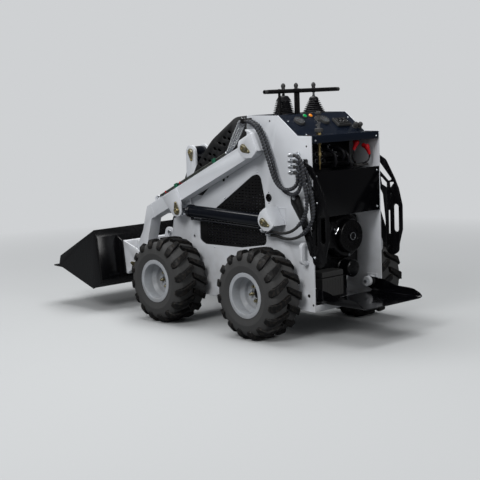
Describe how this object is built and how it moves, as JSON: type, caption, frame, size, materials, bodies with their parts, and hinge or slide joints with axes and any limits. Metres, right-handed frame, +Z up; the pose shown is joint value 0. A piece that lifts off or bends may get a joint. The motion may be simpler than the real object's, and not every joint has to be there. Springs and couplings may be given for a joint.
{
  "type": "compact stand-on skid steer loader",
  "caption": "Compact wheeled skid steer loader with straight lift arms, front bucket, hip guards and a folding foot platform behind.",
  "frame": {"origin": "on the ground under the middle of the whole machine, half way between the bucket's edge and the foot platform's rear edge", "axes": "+X to the bucket, the way it drives forward; +Y to the driver's left; +Z up"},
  "size_m": [2.2741, 1, 1.302],
  "materials": {
    "pale_paint": "satin, off-white",
    "black_paint": "satin powder coat",
    "charcoal_paint": "satin",
    "hose_rubber": "satin, wrapped",
    "black_gloss": "gloss",
    "engine_black": "satin",
    "black_plastic": "matte",
    "zinc": "zinc plated",
    "cylinder_black": "satin",
    "rod_chrome": "polished",
    "black_rubber": "matte",
    "tyre_rubber": "dusty",
    "rim_silver": "satin, silver grey"
  },
  "bodies": {
    "chassis": {"side_plate_left": "pale_paint", "side_plate_right": "pale_paint", "belly_pan": "pale_paint", "bulkhead": "black_paint", "front_plate": "pale_paint", "side_grilles": "black_paint", "hood": "charcoal_paint", "control_deck": "black_paint", "rear_panel": "black_gloss", "engine_block": "engine_black", "fan_housing": "engine_black", "battery_box": "black_plastic", "pump_end": "engine_black", "hydraulic_valve": "zinc", "axle_housings": "pale_paint", "boom_brackets": "pale_paint", "lift_brackets": "pale_paint", "hull_pins": "zinc", "platform_hinges": "pale_paint", "hip_guard_left": "black_paint", "hip_guard_right": "black_paint", "lever_bellows": "black_rubber", "levers": "black_paint", "handle_bar": "black_paint", "side_handles": "black_plastic", "instruments": "black_plastic", "hose_fittings": "zinc", "hose_upper_inner": "hose_rubber", "hose_upper_outer": "hose_rubber", "hose_lower_outer": "hose_rubber", "hose_lower_inner": "hose_rubber"},
    "wheel_front_left": {"tyre_front_left": "tyre_rubber", "rim_front_left": "rim_silver"},
    "wheel_front_right": {"tyre_front_right": "tyre_rubber", "rim_front_right": "rim_silver"},
    "wheel_rear_left": {"tyre_rear_left": "tyre_rubber", "rim_rear_left": "rim_silver"},
    "wheel_rear_right": {"tyre_rear_right": "tyre_rubber", "rim_rear_right": "rim_silver"},
    "boom": {"arm_left": "pale_paint", "arm_right": "pale_paint", "boom_cross_tube": "pale_paint", "boom_pins": "zinc", "boom_pipes": "zinc"},
    "tool": {"quick_attach": "pale_paint", "tool_pins": "zinc", "bucket": "black_paint"},
    "lift_barrel_left": {"lift_left_barrel": "cylinder_black"},
    "lift_rod_left": {"lift_left_rod": "rod_chrome"},
    "lift_barrel_right": {"lift_right_barrel": "cylinder_black"},
    "lift_rod_right": {"lift_right_rod": "rod_chrome"},
    "tilt_barrel": {"tilt_barrel": "cylinder_black"},
    "tilt_rod": {"tilt_rod": "rod_chrome"},
    "platform": {"foot_platform": "black_paint"}
  },
  "joints": [
    {"name": "wheel_front_left", "type": "hinge", "parent": "chassis", "child": "wheel_front_left", "pos_m": [0.16336, 0.39, 0.23357], "axis": [0, 1, 0], "continuous": true},
    {"name": "wheel_front_right", "type": "hinge", "parent": "chassis", "child": "wheel_front_right", "pos_m": [0.16336, -0.39, 0.23357], "axis": [0, 1, 0], "continuous": true},
    {"name": "wheel_rear_left", "type": "hinge", "parent": "chassis", "child": "wheel_rear_left", "pos_m": [-0.56764, 0.39, 0.23357], "axis": [0, 1, 0], "continuous": true},
    {"name": "wheel_rear_right", "type": "hinge", "parent": "chassis", "child": "wheel_rear_right", "pos_m": [-0.56764, -0.39, 0.23357], "axis": [0, 1, 0], "continuous": true},
    {"name": "boom_lift", "type": "hinge", "parent": "chassis", "child": "boom", "pos_m": [-0.44214, 0, 0.974], "axis": [0, -1, 0], "range_deg": [-2.6, 72]},
    {"name": "bucket_tilt", "type": "hinge", "parent": "boom", "child": "tool", "pos_m": [0.49786, 0, 0.27], "axis": [0, 1, 0], "range_deg": [-7, 90]},
    {"name": "lift_barrel_left", "type": "hinge", "parent": "chassis", "child": "lift_barrel_left", "pos_m": [-0.57214, 0.3, 0.597], "axis": [0, -1, 0], "range_deg": [-2.79, 50.68]},
    {"name": "lift_rod_left", "type": "slide", "parent": "lift_barrel_left", "child": "lift_rod_left", "axis": [0.9997, 0, 0.0246], "range_m": [-0.01414, 0.33827]},
    {"name": "lift_barrel_right", "type": "hinge", "parent": "chassis", "child": "lift_barrel_right", "pos_m": [-0.57214, -0.3, 0.597], "axis": [0, -1, 0], "range_deg": [-2.79, 50.68]},
    {"name": "lift_rod_right", "type": "slide", "parent": "lift_barrel_right", "child": "lift_rod_right", "axis": [0.9997, 0, 0.0246], "range_m": [-0.01414, 0.33827]},
    {"name": "tilt_barrel", "type": "hinge", "parent": "boom", "child": "tilt_barrel", "pos_m": [0.32986, 0, 0.915], "axis": [0, -1, 0], "range_deg": [-2.84, 1.14]},
    {"name": "tilt_rod", "type": "slide", "parent": "tilt_barrel", "child": "tilt_rod", "axis": [0.4399, 0, -0.8981], "range_m": [-0.02073, 0.24278]},
    {"name": "foot_platform", "type": "hinge", "parent": "chassis", "child": "platform", "pos_m": [-0.77914, 0, 0.236], "axis": [0, 1, 0], "range_deg": [0, 88]}
  ],
  "couplings": [
    {"joint": "lift_barrel_left", "follows": "boom_lift", "ratio": 0.68998},
    {"joint": "lift_rod_left", "follows": "boom_lift", "m_per_rad": 0.2676},
    {"joint": "lift_barrel_right", "follows": "boom_lift", "ratio": 0.68998},
    {"joint": "lift_rod_right", "follows": "boom_lift", "m_per_rad": 0.2676},
    {"joint": "tilt_barrel", "follows": "bucket_tilt", "ratio": -0.02049},
    {"joint": "tilt_rod", "follows": "bucket_tilt", "m_per_rad": 0.15328}
  ]
}
